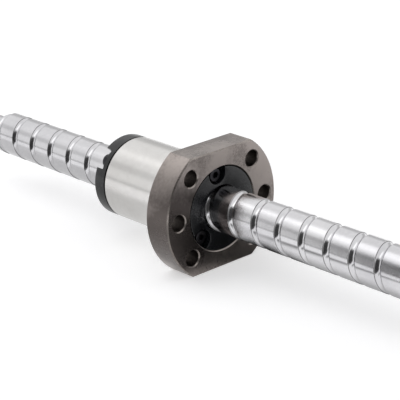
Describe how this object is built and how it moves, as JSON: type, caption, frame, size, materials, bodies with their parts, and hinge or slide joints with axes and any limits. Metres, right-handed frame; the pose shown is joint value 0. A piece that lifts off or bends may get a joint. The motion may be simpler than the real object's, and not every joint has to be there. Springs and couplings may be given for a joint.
{
  "type": "ball screw",
  "caption": "Ball screw with a flanged single nut: a track-cut shaft with turned ends, and a nut that turns its balls back in two end caps.",
  "frame": {"origin": "on the screw's axis, at the mounting face of the flange, where the nut's barrel starts", "axes": "+X along the screw, out of the nut's flanged front; +Z square to the flange's two flats"},
  "size_m": [0.26, 0.048, 0.04],
  "materials": {
    "screw_steel": "polished crests and bright ground ball track",
    "nut_steel": "ground bright on the barrel, brown-grey from heat treatment on the flange",
    "cap_plastic": "black moulded plastic with a slight sheen",
    "wiper_rubber": "matt black",
    "black_oxide_steel": "black oxide",
    "ball_steel": "polished bearing steel"
  },
  "bodies": {
    "screw": {"screw_shaft": "screw_steel"},
    "wipers": {"front_wiper_ring": "wiper_rubber", "rear_wiper_ring": "wiper_rubber"},
    "nut": {"nut_body": "nut_steel", "front_end_cap": "cap_plastic", "rear_end_cap": "cap_plastic", "front_cap_screw_1": "black_oxide_steel", "front_cap_screw_2": "black_oxide_steel", "rear_cap_screw_1": "black_oxide_steel", "rear_cap_screw_2": "black_oxide_steel", "loaded_ball_1": "ball_steel", "loaded_ball_2": "ball_steel", "loaded_ball_3": "ball_steel", "loaded_ball_4": "ball_steel", "loaded_ball_5": "ball_steel", "front_turn_ball": "ball_steel", "rear_turn_ball": "ball_steel", "return_ball_1": "ball_steel", "return_ball_2": "ball_steel", "return_ball_3": "ball_steel"}
  },
  "joints": [
    {"name": "nut_travel", "type": "slide", "parent": "screw", "child": "wipers", "axis": [1, 0, 0], "range_m": [-0.06, 0.08]},
    {"name": "nut_turn", "type": "hinge", "parent": "wipers", "child": "nut", "pos_m": [0, 0, 0], "axis": [1, 0, 0], "range_deg": [-2160, 2880]}
  ],
  "couplings": [
    {"joint": "nut_travel", "follows": "nut_turn", "m_per_rad": 0.0015915}
  ]
}
